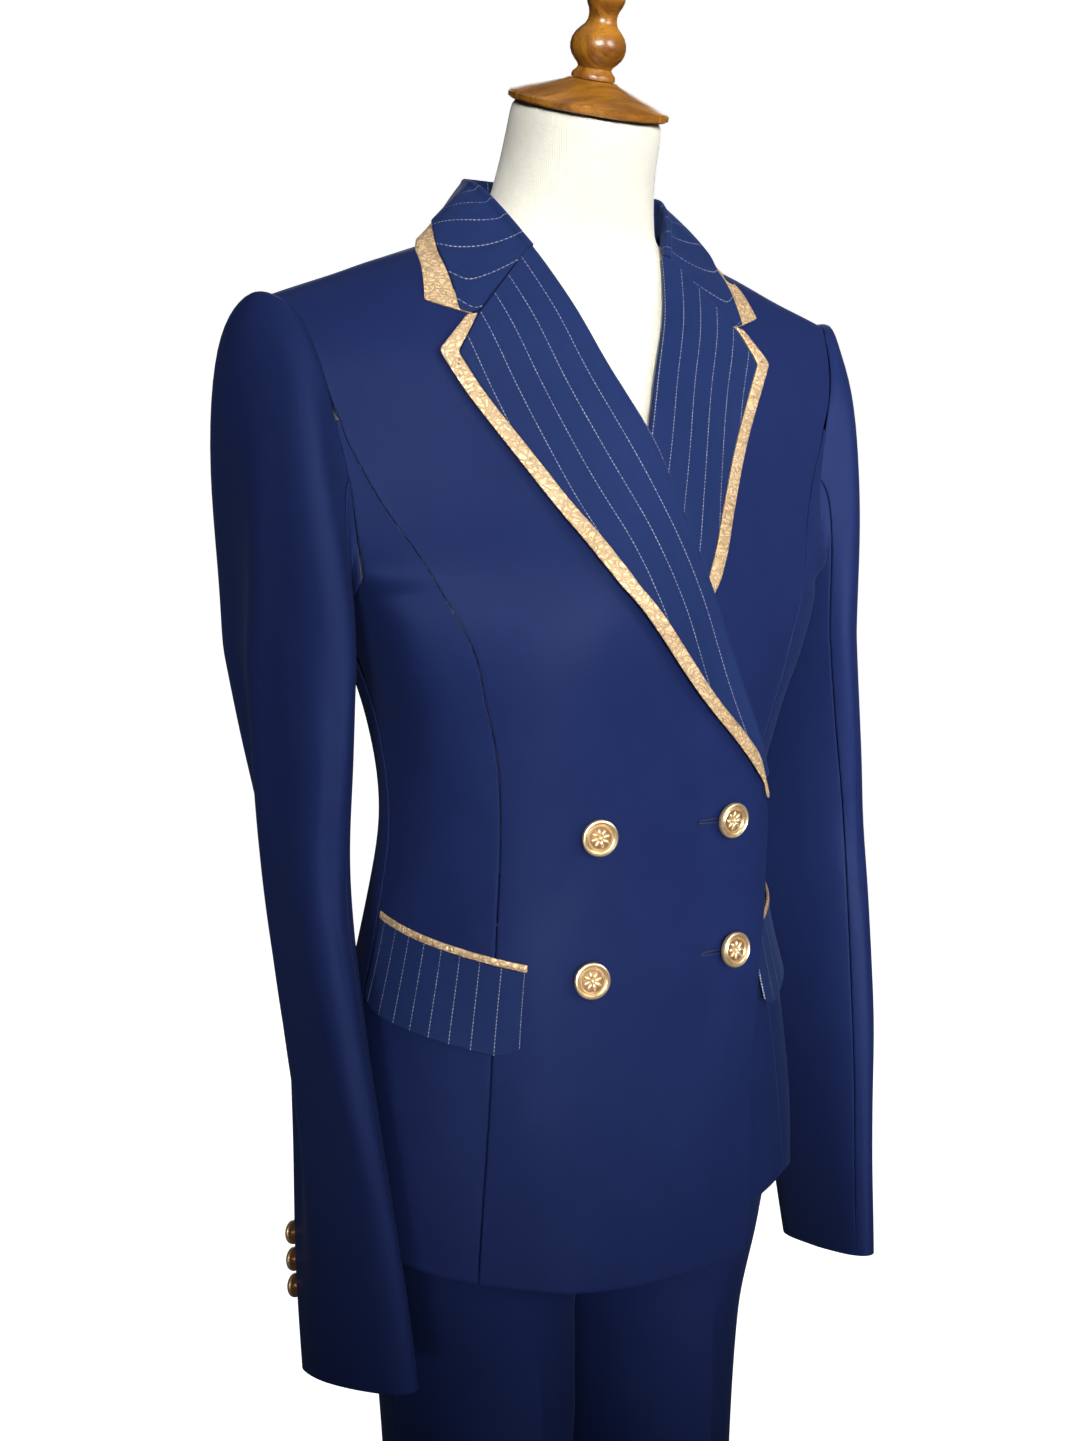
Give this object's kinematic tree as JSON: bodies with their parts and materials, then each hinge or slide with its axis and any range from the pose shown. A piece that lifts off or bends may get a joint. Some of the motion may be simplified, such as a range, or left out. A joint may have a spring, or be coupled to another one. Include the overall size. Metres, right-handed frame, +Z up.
{
  "type": "showmanship suit on a dress form",
  "caption": "Women's double-breasted jacket with pinstripe lapels and metallic leather trim, and creased trousers, worn by a limbless dress form on a round stand.",
  "frame": {"origin": "on the floor, at the centre of the round base's underside", "axes": "+Z up, -Y is the front of the suit, +X is the wearer's left"},
  "size_m": [0.431, 0.4, 1.564],
  "materials": {
    "navy_satin_wool": "navy satin-faced wool with a soft sheen",
    "navy_pinstripe": "navy wool with fine silvery dashed stripes",
    "tan_metallic_leather": "rose-gold metallic leather with a tooled grain",
    "gold_button": "polished gold with a raised rim",
    "cream_jersey": "matt knitted jersey",
    "honey_wood": "varnished turned wood"
  },
  "bodies": {
    "root": {"base": "honey_wood", "collar": "navy_pinstripe", "collar_trim": "tan_metallic_leather", "dress_form": "cream_jersey", "finial": "honey_wood", "front_button_lower_left": "gold_button", "front_button_lower_right": "gold_button", "front_button_upper_left": "gold_button", "front_button_upper_right": "gold_button", "left_back": "navy_satin_wool", "left_cuff_button_1": "gold_button", "left_cuff_button_2": "gold_button", "left_cuff_button_3": "gold_button", "left_flap": "navy_pinstripe", "left_flap_welt": "tan_metallic_leather", "left_front": "navy_satin_wool", "left_lapel": "navy_pinstripe", "left_lapel_trim": "tan_metallic_leather", "left_side_back": "navy_satin_wool", "left_side_front": "navy_satin_wool", "left_top_sleeve": "navy_satin_wool", "left_under_sleeve": "navy_satin_wool", "neck_cap": "honey_wood", "pole": "honey_wood", "right_back": "navy_satin_wool", "right_cuff_button_1": "gold_button", "right_cuff_button_2": "gold_button", "right_cuff_button_3": "gold_button", "right_flap": "navy_pinstripe", "right_flap_welt": "tan_metallic_leather", "right_front": "navy_satin_wool", "right_lapel": "navy_pinstripe", "right_lapel_trim": "tan_metallic_leather", "right_side_back": "navy_satin_wool", "right_side_front": "navy_satin_wool", "right_top_sleeve": "navy_satin_wool", "right_under_sleeve": "navy_satin_wool", "trouser_left_back": "navy_satin_wool", "trouser_left_front": "navy_satin_wool", "trouser_right_back": "navy_satin_wool", "trouser_right_front": "navy_satin_wool", "trouser_waistband": "navy_satin_wool"}
  },
  "joints": []
}
